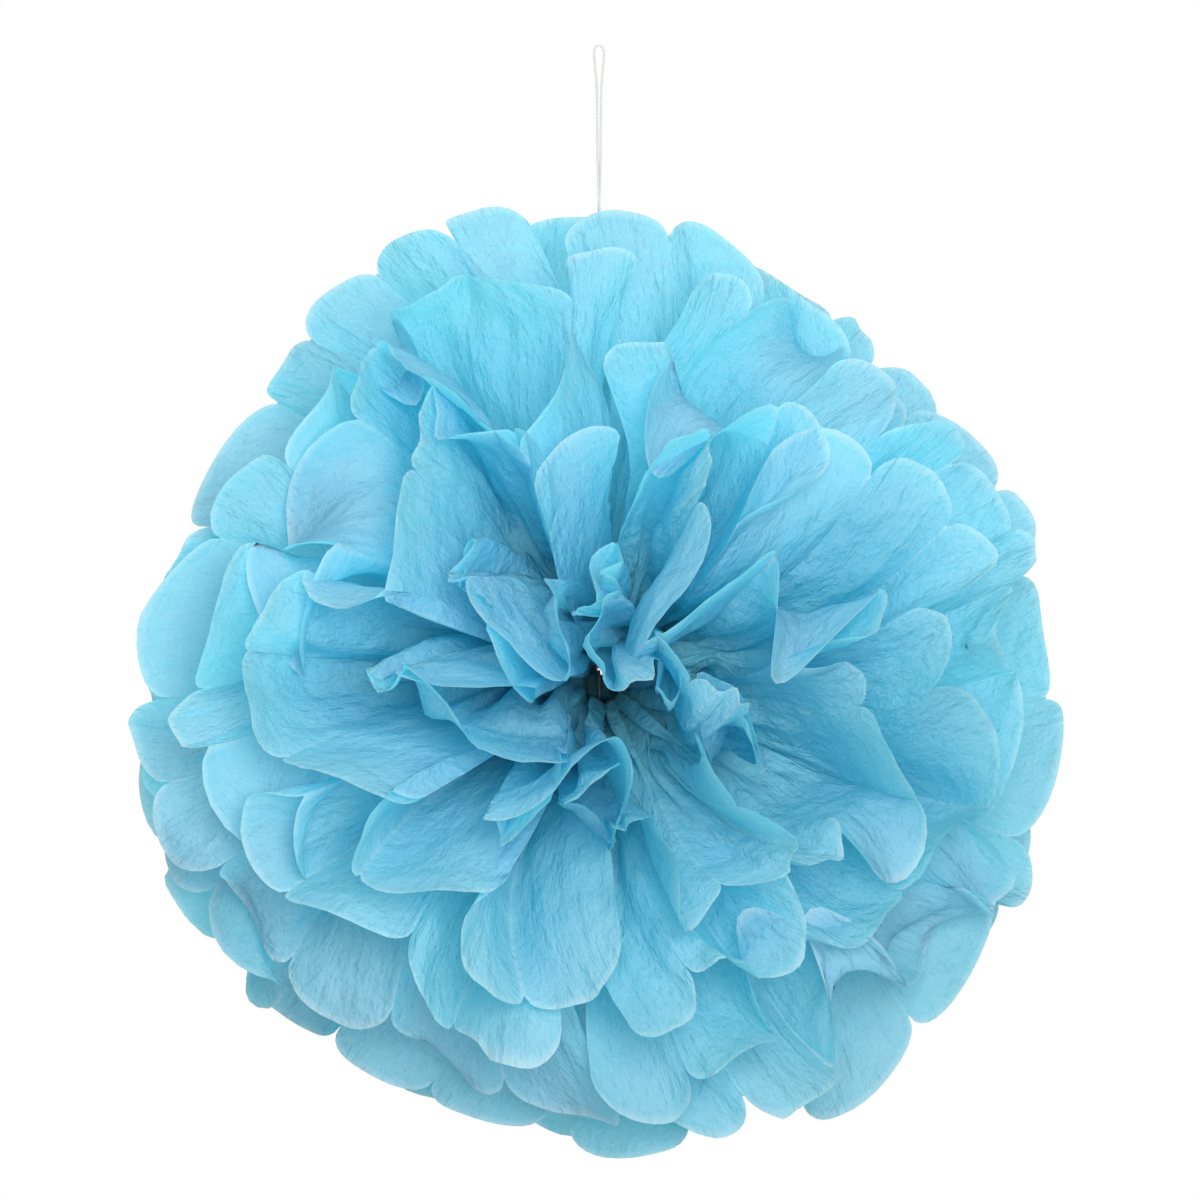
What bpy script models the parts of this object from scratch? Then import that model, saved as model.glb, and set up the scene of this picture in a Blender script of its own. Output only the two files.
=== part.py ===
"""Tissue paper pom pom on a doubled hanging cord.

Ten sheets of tissue are pleated together, cut round at the ends of the pleats and tied at the
waist. Each sheet opens into a left and a right fan, and the fans are pulled apart into a ball.
The middle of the cord's loop is the origin, +Z is up and the ball's front faces -Y.
"""

import math

import bpy
import numpy as np

# Driving sizes, in metres
SHEETS = 10
PANELS = 13
PANEL_WIDTH = 0.0495
PETAL_REACH = 0.205
PETAL_DEPTH = 0.017
PAPER_THICKNESS = 0.0003
GAP = 0.0006
WAIST_HALF_LENGTH = 0.006
WAIST_HALF_HEIGHT = 0.005
WAIST_STEP = 0.0006
SEAM_CLEARANCE = 0.0008
NECK_END = 0.06
FOLD_START = 0.045
CUP_DEPTH = 0.004
HANG_LENGTH = 0.2765
TIE_WIRE = 0.0012
CORNER_STEPS = 5
KNOT_DIAMETER = 0.004
KNOT_HEIGHT = 0.0042
KNOT_TURNS = 3
KNOT_STEPS = 5
KNOT_SIDES = 12
KNOT_GROOVE = 0.35
KNOT_BULGE = 0.46
CORD_DIAMETER = 0.0011
TUBE_DETAIL = 2

# How the sheets open, in degrees. Polar angles count from the front, azimuths from the top.
FIRST_POLAR = 21.0
FOLD_LIMIT = 24.0
FOLD_AT_WAIST = 0.005
LEAST_FOLD = 2.0
LEAST_POLAR = 1.5
EDGE_FOLD = 0.35
POLE_SHARES = (0.6, 0.72, 0.62, 0.6, 0.6)
OWN_WAY = 0.6
FLARE = -1.0
LOBE_START = 0.1
LOBE_FULL = 0.6
PLEATS_LOST = 0.8
SEAM_AZIMUTH = 1.5
CROWD = 0.6
TOP_SEAM_TURNS = (8.0, -4.5, 8.0, -8.0, 7.0)
BOTTOM_SEAM_TURNS = (0.0, 4.0, -5.0, 6.0, -6.0)

# Which way each panel swings, from the top seam down: 1 outwards, -1 in to the middle. Runs of
# one sign make a broad lobe of several panels, and alternate signs make narrow pleats.
FRONT_SWINGS = (
    (-1, 1, 1, -1, -1, 1, 1, -1, -1, 1, -1, 1, -1),
    (1, -1, -1, 1, 1, -1, 1, 1, -1, -1, 1, -1, 1),
)
BACK_SWINGS = (
    (1, 1, -1, -1, 1, -1, 1, -1, -1, 1, 1, -1, 1),
    (-1, 1, -1, 1, 1, -1, -1, 1, -1, 1, 1, -1, -1),
)
LOBE_SHARES = (0.95, 0.9, 0.85, 0.7, 0.3)

# Gentle bends of the whole ball, across, up and to the back: size, two wave lengths and a start
SWAY_ACROSS = (0.016, 0.060, 0.080, 0.6)
SWAY_UP = (0.014, 0.060, -0.080, 2.1)
SWAY_BACK = (0.015, 0.065, 0.060, 0.9)
CALM_CORE = 0.07

# How far the front's middle is drawn to the right, and the place and size of the drawn area
PULL = 0.030
PULL_X = 0.0
PULL_Z = -0.030
PULL_WIDTH = 0.075
PULL_HEIGHT = 0.045
PULL_START = 0.02
PULL_FULL = 0.18

# Distances from the waist at which the creases are given points, as shares of their reach
CREASE_ROWS = (0.0, 0.11, 0.37, 0.70)
RIM_STEPS = (0.0, 0.17, 0.5, 0.83)
FOLD_BLUNTNESS = 0.1

# Middle line of the cord from the knot up to the loop and back, in millimetres
CORD_ROUTE = (
    (-0.7, 0.0, -264.9), (-0.7, 0.0, -262.0), (-0.9, 0.1, -250.0), (-0.8, 0.2, -225.0),
    (-0.7, 0.1, -195.0), (-0.8, 0.0, -165.0), (-1.0, 0.0, -130.0), (-0.8, 0.1, -100.0),
    (-0.2, 0.8, -72.0), (0.6, 0.6, -50.0), (0.8, 0.1, -30.0), (1.0, 0.0, -18.0),
    (1.7, 0.0, -8.0), (2.1, 0.0, -3.6), (1.9, 0.0, -0.9), (1.0, 0.0, 0.5),
    (0.0, 0.0, 0.9), (-1.0, 0.0, 0.5), (-1.9, 0.0, -0.9), (-2.1, 0.0, -3.6),
    (-1.7, 0.0, -8.0), (-1.0, 0.0, -18.0), (-0.8, -0.1, -30.0), (-0.6, -0.6, -50.0),
    (0.2, -0.8, -72.0), (0.8, -0.1, -100.0), (0.9, 0.0, -130.0), (0.7, 0.0, -165.0),
    (0.8, -0.1, -195.0), (0.7, -0.2, -225.0), (0.7, -0.1, -250.0), (0.7, 0.0, -262.0),
    (0.7, 0.0, -264.9),
)
CORD_POINTS = 78
ROUTE_STEPS = 24
LOOP_MIDDLE = -0.004
LOOP_SPREAD = 0.012
LOOP_DENSITY = 12.0

# The tissue's pleats are uneven, with one fixed draw for the whole ball
DRAW = np.random.default_rng(7)
SHARED_TURN = DRAW.uniform(-0.2, 0.2, (2, PANELS + 1))
OWN_TURN = DRAW.uniform(-0.22, 0.22, (SHEETS, 2, PANELS + 1))
SHARED_FOLD = DRAW.uniform(0.85, 1.2, (2, PANELS + 1))
OWN_FOLD = DRAW.uniform(0.65, 1.35, (SHEETS, 2, PANELS + 1))
NOTCH_LOSS = DRAW.uniform(0.0, 0.007, (SHEETS, 2, PANELS + 1))
CUP = DRAW.uniform(-1.0, 1.0, (SHEETS, 2, PANELS))


def smooth(value):
    """Ease from 0 to 1."""
    value = np.clip(value, 0.0, 1.0)
    return value * value * (3.0 - 2.0 * value)


def along(values, s):
    """Straight runs between the values kept at the creases."""
    return np.interp(s, np.arange(len(values)), values)


def place_from_middle(sheet):
    """0 for the first and the last sheet, growing towards the two sheets at the equator."""
    return min(sheet, SHEETS - 1 - sheet)


def towards_back(sheet):
    """1 for a front sheet, -1 for a back sheet: the way its fan opens from its own pole."""
    return 1.0 if sheet < SHEETS / 2 else -1.0


def pick(values, sheet):
    return values[min(place_from_middle(sheet), len(values) - 1)]


def lobes_at_creases(sheet, side):
    """How far out each crease stands in its fan's lobes, in panels, about their middle."""
    swings = (FRONT_SWINGS if sheet < SHEETS / 2 else BACK_SWINGS)[side]
    steps = np.interp(np.linspace(0.0, len(swings) - 1.0, PANELS), np.arange(len(swings)), swings)
    walk = np.append(0.0, np.cumsum(steps))
    return walk - (walk.max() + walk.min()) / 2.0


def crease_points(sheet, side, reach):
    """Where each crease of a fan is at each reach. Side is 0 on the left and 1 on the right."""
    reach = np.asarray(reach, float)[..., None]
    crease = np.arange(PANELS + 1)
    share = reach / PETAL_REACH
    own = smooth((share - OWN_WAY) / (1.0 - OWN_WAY))
    out = side * 2.0 - 1.0
    opening = towards_back(sheet)
    rest = FIRST_POLAR + (180.0 - 2.0 * FIRST_POLAR) * sheet / (SHEETS - 1)
    from_pole = math.radians(min(rest, 180.0 - rest))

    seam = math.radians(SEAM_AZIMUTH)
    spread = (math.pi - 2.0 * seam) / PANELS
    crowd = CROWD * np.sin(np.pi * crease / PANELS)
    held = np.sqrt(np.sin(np.pi * crease / PANELS).clip(0.0))
    turn = (SHARED_TURN[side] + own * OWN_TURN[sheet, side]) * held
    down = crease / PANELS
    turned = pick(TOP_SEAM_TURNS, sheet) * (1.0 - down) + pick(BOTTOM_SEAM_TURNS, sheet) * down
    azimuth = seam + spread * (crease + turn - crowd) - out * opening * np.radians(turned) * own
    span = spread * np.gradient(crease + turn - crowd, axis=-1)

    lobes = lobes_at_creases(sheet, side)
    arc = span * reach * math.sin(from_pole)
    swing = np.sqrt(np.maximum(PANEL_WIDTH**2 - arc**2, 0.0)) / np.maximum(reach, 0.001)
    limit = np.minimum(math.radians(FOLD_LIMIT), pick(POLE_SHARES, sheet) * from_pole)
    broad = smooth((share - LOBE_START) / (LOBE_FULL - LOBE_START))
    lobe = np.minimum(swing * pick(LOBE_SHARES, sheet), limit / np.abs(lobes).max()) * broad
    most = limit * (1.0 - PLEATS_LOST * broad)
    size = np.clip(swing / 2.0 * (1.0 - broad), math.radians(LEAST_FOLD), most)
    size = size * smooth((reach + FOLD_AT_WAIST) / FOLD_START)
    from_edge = np.minimum(crease, PANELS - crease)
    sign = (1.0 - 2.0 * (crease % 2)) * np.minimum(EDGE_FOLD + 0.5 * from_edge, 1.0)
    uneven = SHARED_FOLD[side] * (1.0 - own) + OWN_FOLD[sheet, side] * own
    flare = math.radians(FLARE) * math.cos(from_pole) * share**3
    polar = from_pole + lobe * lobes + opening * sign * size * uneven + flare
    polar = np.maximum(polar, math.radians(LEAST_POLAR))

    step = WAIST_STEP * abs(sheet - (SHEETS - 1) / 2.0)
    neck = (WAIST_HALF_LENGTH - step) * (1.0 - smooth(reach / NECK_END)) + SEAM_CLEARANCE
    x = out * (neck + reach * np.sin(polar) * np.sin(azimuth))
    y = stack_place(sheet) - opening * reach * np.cos(polar)
    z = (WAIST_HALF_HEIGHT - step) * (1.0 - 2.0 * down) + reach * np.sin(polar) * np.cos(azimuth)
    return np.stack((x, y, z), -1)


def fan_point(sheet, side, s, reach):
    """Middle surface of a fan: each panel spans its two creases and is cupped near its end."""
    s, reach = np.broadcast_arrays(np.asarray(s, float), np.asarray(reach, float))
    creases = crease_points(sheet, side, reach)
    low = np.clip(np.floor(s).astype(int), 0, PANELS - 1)
    part = (s - low)[..., None]
    before = np.take_along_axis(creases, low[..., None, None], -2)[..., 0, :]
    after = np.take_along_axis(creases, low[..., None, None] + 1, -2)[..., 0, :]
    middle = before + (after - before) * part
    across = np.cross(after - before, middle - (0.0, stack_place(sheet), 0.0))
    across /= np.maximum(np.linalg.norm(across, axis=-1, keepdims=True), 1e-9)
    own = smooth((reach / PETAL_REACH - OWN_WAY) / (1.0 - OWN_WAY))[..., None]
    room = math.sin(math.pi * (sheet + 1.0) / (SHEETS + 1.0))
    cup = CUP_DEPTH * room * CUP[sheet, side][low][..., None] * np.sin(np.pi * part) * own
    x, y, z = np.moveaxis(middle + across * cup, -1, 0)
    return np.stack(sway(x, y, z), -1)


def wave(shape, first, second, from_middle):
    """Shift of one bend, which fades to nothing at the waist."""
    size, first_length, second_length, start = shape
    calm = 1.0 - np.exp(-((from_middle / CALM_CORE) ** 2))
    return size * calm * np.sin(first / first_length + second / second_length + start)


def pull(x, y, z):
    """Draw the middle of the front across to one side, fading inwards to the waist."""
    front = smooth((-y - PULL_START) / (PULL_FULL - PULL_START))
    near = np.exp(-(((x - PULL_X) / PULL_WIDTH) ** 2) - ((z - PULL_Z) / PULL_HEIGHT) ** 2)
    return x + PULL * front * near, y, z


def sway(x, y, z):
    """Bend all sheets together by shears, which keep them in order and leave the waist alone."""
    x, y, z = pull(x, y, z)
    x = x + wave(SWAY_ACROSS, z, y, np.abs(y))
    z = z + wave(SWAY_UP, x, y, np.hypot(x, y))
    y = y + wave(SWAY_BACK, x, z, np.hypot(x, z))
    return x, y, z


def stack_place(sheet):
    """Where a sheet lies in the stack at the waist, from front to back."""
    return (sheet - (SHEETS - 1) / 2.0) * (PAPER_THICKNESS + GAP)


def rim_reach(sheet, side, s):
    """Round end of each pleat: longest at its middle, notched at the creases."""
    part = s - np.floor(np.minimum(s, PANELS - 1e-9))
    round_end = np.sqrt(np.maximum(1.0 - (2.0 * part - 1.0) ** 2, 0.0))
    notch = PETAL_REACH - PETAL_DEPTH - along(NOTCH_LOSS[sheet, side], s)
    return notch + PETAL_DEPTH * round_end


def fan_rows(sheet, side):
    """Rows of (s, points) from the waist out to the rim."""
    creases = np.arange(PANELS + 1.0)
    rows = [(creases, creases * 0.0 + share * (PETAL_REACH - PETAL_DEPTH)) for share in CREASE_ROWS]
    rim = np.append((np.arange(PANELS)[:, None] + np.array(RIM_STEPS)).ravel(), PANELS)
    rows.append((rim, rim_reach(sheet, side, rim)))
    return [(s, fan_point(sheet, side, s, reach)) for s, reach in rows]


def stitch(first, second):
    """Triangles between two rows of (s, vertex number), by the nearer next place."""
    faces = []
    i = j = 0
    while i < len(first) - 1 or j < len(second) - 1:
        next_first = first[i + 1][0] if i < len(first) - 1 else math.inf
        next_second = second[j + 1][0] if j < len(second) - 1 else math.inf
        if next_first <= next_second:
            faces.append((first[i][1], first[i + 1][1], second[j][1]))
            i += 1
        else:
            faces.append((first[i][1], second[j + 1][1], second[j][1]))
            j += 1
    return faces


def face_offsets(points, faces):
    """How far each point moves for every face at it to move out by 1: long at a sharp fold."""
    corners = points[np.array(faces)]
    normals = np.cross(corners[:, 1] - corners[:, 0], corners[:, 2] - corners[:, 0])
    normals /= np.linalg.norm(normals, axis=1, keepdims=True)
    squares = np.zeros((len(points), 3, 3)) + np.eye(3) * FOLD_BLUNTNESS
    sums = np.zeros((len(points), 3))
    for corner in range(3):
        before = corners[:, (corner + 1) % 3] - corners[:, corner]
        after = corners[:, (corner + 2) % 3] - corners[:, corner]
        lengths = np.linalg.norm(before, axis=1) * np.linalg.norm(after, axis=1)
        angle = np.arccos(np.clip((before * after).sum(1) / lengths, -1.0, 1.0))
        place = np.array(faces)[:, corner]
        np.add.at(squares, place, angle[:, None, None] * normals[:, :, None] * normals[:, None, :])
        np.add.at(sums, place, angle[:, None] * normals)
    return np.linalg.solve(squares, sums[..., None])[..., 0]


def sheet_mesh(sheet):
    """One closed body: both fans, joined through the waist, with the paper's thickness."""
    rows = []
    points = []
    for s, row in fan_rows(sheet, 0)[::-1] + fan_rows(sheet, 1):
        rows.append([(place, len(points) + i) for i, place in enumerate(s)])
        points.extend(row)
    points = np.array(points)
    faces = [face for first, second in zip(rows, rows[1:]) for face in stitch(first, second)]
    offsets = face_offsets(points, faces) * PAPER_THICKNESS / 2.0
    count = len(points)
    edge = [number for _, number in rows[0]]
    edge += [row[-1][1] for row in rows[1:-1]]
    edge += [number for _, number in rows[-1][::-1]]
    edge += [row[0][1] for row in rows[-2:0:-1]]
    sides = []
    for first, second in zip(edge, edge[1:] + edge[:1]):
        sides.append((second, first, first + count))
        sides.append((second, first + count, second + count))
    under = [tuple(number + count for number in face[::-1]) for face in faces]
    return np.concatenate((points + offsets, points - offsets)), faces + under + sides


def material(name, colour, roughness, metallic=0.0):
    made = bpy.data.materials.new(name)
    made.use_nodes = True
    shader = made.node_tree.nodes["Principled BSDF"]
    shader.inputs["Base Color"].default_value = (*colour, 1.0)
    shader.inputs["Roughness"].default_value = roughness
    shader.inputs["Metallic"].default_value = metallic
    return made


def add_object(name, mesh, look, parent, place=(0.0, 0.0, 0.0)):
    made = bpy.data.objects.new(name, mesh)
    made.data.materials.append(look)
    made.parent = parent
    made.location = place
    bpy.context.scene.collection.objects.link(made)
    return made


def add_sheet(sheet, look, waist):
    """Sheets are numbered from the equator outwards, on the front and on the back."""
    in_front = sheet < SHEETS / 2
    number = SHEETS // 2 - sheet if in_front else sheet - SHEETS // 2 + 1
    name = f"tissue_sheet_{'front' if in_front else 'back'}_{number}"
    points, faces = sheet_mesh(sheet)
    mesh = bpy.data.meshes.new(name)
    mesh.from_pydata([tuple(p) for p in points], [], faces)
    add_object(name, mesh, look, waist)


def ring_outline(half_y, half_z, radius, steps):
    """Rounded oblong in the Y-Z plane, as points of a closed line."""
    points = []
    for corner, (sign_y, sign_z) in enumerate(((1, 1), (-1, 1), (-1, -1), (1, -1))):
        for step in range(steps + 1):
            angle = math.radians(90.0 * (corner + step / steps))
            points.append((
                sign_y * (half_y - radius) + radius * math.cos(angle),
                sign_z * (half_z - radius) + radius * math.sin(angle),
            ))
    return points


def add_waist_tie(look, waist):
    """Wire ring round the stack of sheets."""
    half_y = SHEETS / 2.0 * (PAPER_THICKNESS + GAP) + GAP + TIE_WIRE / 2.0
    half_z = WAIST_HALF_HEIGHT + GAP + TIE_WIRE / 2.0
    line = bpy.data.curves.new("waist_tie", "CURVE")
    line.dimensions = "3D"
    line.bevel_depth = TIE_WIRE / 2.0
    line.bevel_resolution = TUBE_DETAIL
    spline = line.splines.new("POLY")
    outline = ring_outline(half_y, half_z, GAP + TIE_WIRE / 2.0, CORNER_STEPS)
    spline.points.add(len(outline) - 1)
    for point, (y, z) in zip(spline.points, outline):
        point.co = (0.0, y, z, 1.0)
    spline.use_cyclic_u = True
    add_object("waist_tie", line, look, waist)
    return half_z + TIE_WIRE / 2.0


def knot_outline():
    """Radius and height up the side of the knot, bulging once for each turn of cord."""
    rise = KNOT_HEIGHT / KNOT_TURNS
    outline = []
    for turn in range(KNOT_TURNS):
        for step in range(KNOT_STEPS + 1):
            angle = math.pi * (step / KNOT_STEPS - 0.5)
            radius = KNOT_DIAMETER / 2.0 - KNOT_GROOVE * rise * (1.0 - math.cos(angle))
            outline.append((radius, rise * (turn + 0.5 + KNOT_BULGE * math.sin(angle))))
    return outline


def add_cord_knot(look, waist, seat):
    """Barrel of three turns of cord, drawn tight on top of the tie."""
    outline = knot_outline()
    points = [(0.0, 0.0, outline[0][1])]
    for radius, height in outline:
        for side in range(KNOT_SIDES):
            angle = math.tau * side / KNOT_SIDES
            points.append((radius * math.cos(angle), radius * math.sin(angle), height))
    points.append((0.0, 0.0, outline[-1][1]))
    faces = []
    top = 1 + (len(outline) - 1) * KNOT_SIDES
    for side in range(KNOT_SIDES):
        after = (side + 1) % KNOT_SIDES
        faces.append((0, 1 + after, 1 + side))
        for low in range(1, top, KNOT_SIDES):
            high = low + KNOT_SIDES
            faces.append((low + side, low + after, high + after, high + side))
        faces.append((top + side, top + after, len(points) - 1))
    mesh = bpy.data.meshes.new("cord_knot")
    mesh.from_pydata(points, [], faces)
    mesh.shade_smooth()
    add_object("cord_knot", mesh, look, waist, (0.0, 0.0, seat + GAP))


def smooth_route(route):
    """Close points on the smooth curve through the route's own points."""
    knots = np.array(route) / 1000.0
    knots = np.vstack((2.0 * knots[0] - knots[1], knots, 2.0 * knots[-1] - knots[-2]))
    fine = []
    for a, b, c, d in zip(knots, knots[1:], knots[2:], knots[3:]):
        lengths = [math.sqrt(np.linalg.norm(q - p)) for p, q in ((a, b), (b, c), (c, d))]
        t0, t1 = 0.0, lengths[0]
        t2 = t1 + lengths[1]
        t3 = t2 + lengths[2]
        for t in np.linspace(t1, t2, ROUTE_STEPS, endpoint=False):
            ab = a + (b - a) * (t - t0) / (t1 - t0)
            bc = b + (c - b) * (t - t1) / (t2 - t1)
            cd = c + (d - c) * (t - t2) / (t3 - t2)
            abc = ab + (bc - ab) * (t - t0) / (t2 - t0)
            bcd = bc + (cd - bc) * (t - t1) / (t3 - t1)
            fine.append(abc + (bcd - abc) * (t - t1) / (t2 - t1))
    return np.array([*fine, knots[-2]])


def add_hanging_cord(look):
    """Both strands and the loop as one tube, with more points where the loop bends."""
    fine = smooth_route(CORD_ROUTE)
    steps = np.linalg.norm(np.diff(fine, axis=0), axis=1)
    bend_share = np.exp(-(((fine[1:, 2] - LOOP_MIDDLE) / LOOP_SPREAD) ** 2))
    weight = np.append(0.0, np.cumsum(steps * (1.0 + LOOP_DENSITY * bend_share)))
    wanted = np.linspace(0.0, weight[-1], CORD_POINTS)
    points = np.stack([np.interp(wanted, weight, fine[:, axis]) for axis in range(3)], -1)
    line = bpy.data.curves.new("hanging_cord", "CURVE")
    line.dimensions = "3D"
    line.bevel_depth = CORD_DIAMETER / 2.0
    line.bevel_resolution = TUBE_DETAIL
    line.use_fill_caps = True
    spline = line.splines.new("POLY")
    spline.points.add(len(points) - 1)
    for point, place in zip(spline.points, points):
        point.co = (*place, 1.0)
    add_object("hanging_cord", line, look, None)


def main():
    for old in list(bpy.data.objects):
        bpy.data.objects.remove(old, do_unlink=True)
    waist = bpy.data.objects.new("waist", None)
    waist.location = (0.0, 0.0, -HANG_LENGTH)
    bpy.context.scene.collection.objects.link(waist)
    tissue = material("light_blue_tissue", (0.20, 0.53, 0.75), 0.75)
    wire = material("tie_wire", (0.62, 0.62, 0.60), 0.35, 1.0)
    cotton = material("white_cotton_cord", (0.82, 0.81, 0.78), 0.85)
    for sheet in range(SHEETS):
        add_sheet(sheet, tissue, waist)
    seat = add_waist_tie(wire, waist)
    add_cord_knot(cotton, waist, seat)
    add_hanging_cord(cotton)


main()
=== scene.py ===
"""Looks of the tissue paper pom pom: fine pleated tissue, twisted cord, wire tie and light."""

import math

import bpy
import numpy as np
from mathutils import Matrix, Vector


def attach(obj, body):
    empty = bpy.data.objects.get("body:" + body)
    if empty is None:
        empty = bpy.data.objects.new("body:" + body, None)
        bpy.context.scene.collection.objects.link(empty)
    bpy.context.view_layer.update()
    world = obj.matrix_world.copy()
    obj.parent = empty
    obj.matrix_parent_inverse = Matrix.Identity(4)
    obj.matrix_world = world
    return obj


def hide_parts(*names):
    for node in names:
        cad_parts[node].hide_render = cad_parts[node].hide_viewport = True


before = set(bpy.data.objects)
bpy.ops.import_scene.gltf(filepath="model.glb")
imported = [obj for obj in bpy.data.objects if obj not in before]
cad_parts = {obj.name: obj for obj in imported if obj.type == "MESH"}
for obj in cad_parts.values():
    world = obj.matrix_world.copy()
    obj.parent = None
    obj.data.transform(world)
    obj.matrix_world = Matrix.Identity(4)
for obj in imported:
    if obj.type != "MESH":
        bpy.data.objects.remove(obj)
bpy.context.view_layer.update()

# Driving sizes, in metres
SHEETS = 10
PANELS = 13
PANEL_WIDTH = 0.0495
PETAL_REACH = 0.205
PETAL_DEPTH = 0.017
PAPER_THICKNESS = 0.0003
GAP = 0.0006
WAIST_HALF_LENGTH = 0.006
WAIST_HALF_HEIGHT = 0.005
WAIST_STEP = 0.0006
SEAM_CLEARANCE = 0.0008
NECK_END = 0.06
FOLD_START = 0.045
CUP_DEPTH = 0.004
HANG_LENGTH = 0.2765
CORD_DIAMETER = 0.0011

# How the sheets open, in degrees. Polar angles count from the front, azimuths from the top.
FIRST_POLAR = 21.0
FOLD_LIMIT = 24.0
FOLD_AT_WAIST = 0.005
LEAST_FOLD = 2.0
LEAST_POLAR = 1.5
EDGE_FOLD = 0.35
POLE_SHARES = (0.6, 0.72, 0.62, 0.6, 0.6)
OWN_WAY = 0.6
FLARE = -1.0
LOBE_START = 0.1
LOBE_FULL = 0.6
PLEATS_LOST = 0.8
SEAM_AZIMUTH = 1.5
CROWD = 0.6
TOP_SEAM_TURNS = (8.0, -4.5, 8.0, -8.0, 7.0)
BOTTOM_SEAM_TURNS = (0.0, 4.0, -5.0, 6.0, -6.0)

# Which way each panel swings, from the top seam down: 1 outwards, -1 in to the middle. Runs of
# one sign make a broad lobe of several panels, and alternate signs make narrow pleats.
FRONT_SWINGS = (
    (-1, 1, 1, -1, -1, 1, 1, -1, -1, 1, -1, 1, -1),
    (1, -1, -1, 1, 1, -1, 1, 1, -1, -1, 1, -1, 1),
)
BACK_SWINGS = (
    (1, 1, -1, -1, 1, -1, 1, -1, -1, 1, 1, -1, 1),
    (-1, 1, -1, 1, 1, -1, -1, 1, -1, 1, 1, -1, -1),
)
LOBE_SHARES = (0.95, 0.9, 0.85, 0.7, 0.3)

# Gentle bends of the whole ball, across, up and to the back: size, two wave lengths and a start
SWAY_ACROSS = (0.016, 0.060, 0.080, 0.6)
SWAY_UP = (0.014, 0.060, -0.080, 2.1)
SWAY_BACK = (0.015, 0.065, 0.060, 0.9)
CALM_CORE = 0.07

# How far the front's middle is drawn to the right, and the place and size of the drawn area
PULL = 0.030
PULL_X = 0.0
PULL_Z = -0.030
PULL_WIDTH = 0.075
PULL_HEIGHT = 0.045
PULL_START = 0.02
PULL_FULL = 0.18

# Middle line of the cord from the knot up to the loop and back, in millimetres
CORD_ROUTE = (
    (-0.7, 0.0, -264.9), (-0.7, 0.0, -262.0), (-0.9, 0.1, -250.0), (-0.8, 0.2, -225.0),
    (-0.7, 0.1, -195.0), (-0.8, 0.0, -165.0), (-1.0, 0.0, -130.0), (-0.8, 0.1, -100.0),
    (-0.2, 0.8, -72.0), (0.6, 0.6, -50.0), (0.8, 0.1, -30.0), (1.0, 0.0, -18.0),
    (1.7, 0.0, -8.0), (2.1, 0.0, -3.6), (1.9, 0.0, -0.9), (1.0, 0.0, 0.5),
    (0.0, 0.0, 0.9), (-1.0, 0.0, 0.5), (-1.9, 0.0, -0.9), (-2.1, 0.0, -3.6),
    (-1.7, 0.0, -8.0), (-1.0, 0.0, -18.0), (-0.8, -0.1, -30.0), (-0.6, -0.6, -50.0),
    (0.2, -0.8, -72.0), (0.8, -0.1, -100.0), (0.9, 0.0, -130.0), (0.7, 0.0, -165.0),
    (0.8, -0.1, -195.0), (0.7, -0.2, -225.0), (0.7, -0.1, -250.0), (0.7, 0.0, -262.0),
    (0.7, 0.0, -264.9),
)
ROUTE_STEPS = 24

# The fine tissue: columns in a pleat, rows from the waist to the rim, and how far its close
# lines stand from a crease, as a share of a panel, and from the rim
COLUMNS = 17
ROWS = 76
CREASE_LINE = 0.014
RIM_LINE = 0.0010
ROWS_CROWD_OUT = 0.10

# Petal ends turn up or back past a hinge, in degrees, and a few of them fold over. Each growth
# starts with the first and last sheets, the only ones that lean in, and ends at the equator.
CURL = 24.0
FOLDED_OVER = 64.0
FOLDED_SHARE = 0.12
CURL_START = 0.71
CURL_GROWTH = (0.35, 0.8, 1.0, 1.0, 1.0)
LEAN = 0.34
LEAN_WAVE = 4.4
LEAN_FROM = 0.55

# Spare paper between two creases: it cups near the rim, and ripples further in
MOST_GATHER = 2.4
LEAST_GATHERED = 0.2
CUP_SHARE = 0.18
CUP_GROWTH = (1.9, 1.2, 1.0, 1.0, 1.2)
RIPPLE_SHARE = 0.11
RIPPLE_GROWTH = (2.2, 1.0, 0.8, 0.8, 1.0)
RIPPLES = 2.0
RIPPLE_DRIFT = 0.35
RIPPLES_LEFT_OUTSIDE = 0.3

# Tilt of each crease and crumples of the paper, in metres: height, then size across and outward
TILT = 0.014
WRINKLE = 0.0019
WRINKLE_SIZE = (0.034, 0.055)
CRUMPLE = 0.00075
CRUMPLE_SIZE = (0.012, 0.020)
RIM_WAVE = 0.0016
RIM_WAVE_SIZE = (0.013, 0.05)
RIM_UNEVEN = 0.0035

# How far the paper's direction is judged along a petal, and how much of it the tie holds still
FACING_STEP = 0.003
HELD_BY_WAIST = 0.02

# Repeatable random lattice: large odd factors, and masks that keep 31 and 16 bits
HASH_FACTORS = (374761393, 668265263, 974634777, 1274126177)
HASH_MASK = 0x7FFFFFFF
LOW_BITS = 0xFFFF

# Three twisted plies of the cord: radius and offset as shares of its diameter, and in metres
# the length of one twist and the step between two points
PLIES = 3
PLY_SIDES = 7
PLY_RADIUS = 0.27
PLY_OFFSET = 0.24
PLY_LAY = 0.0042
CORD_STEP = 0.00045

# Colours of the tissue in the light, and of the light that comes through it. The lightest is a
# painted highlight for creases and rim; near the waist a brighter colour is painted in for light
# bounced between the sheets in the deep middle
TISSUE_DEEP = (0.35, 0.655, 0.82)
TISSUE_PALE = (0.45, 0.74, 0.87)
TISSUE_FIBRE = (0.64, 0.84, 0.92)
# Painted highlight: lighter colour for the creases and the rim, for light caught by folds and edge-on
# paper
TISSUE_PAINTED_HIGHLIGHT = (0.78, 0.91, 0.95)
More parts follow.
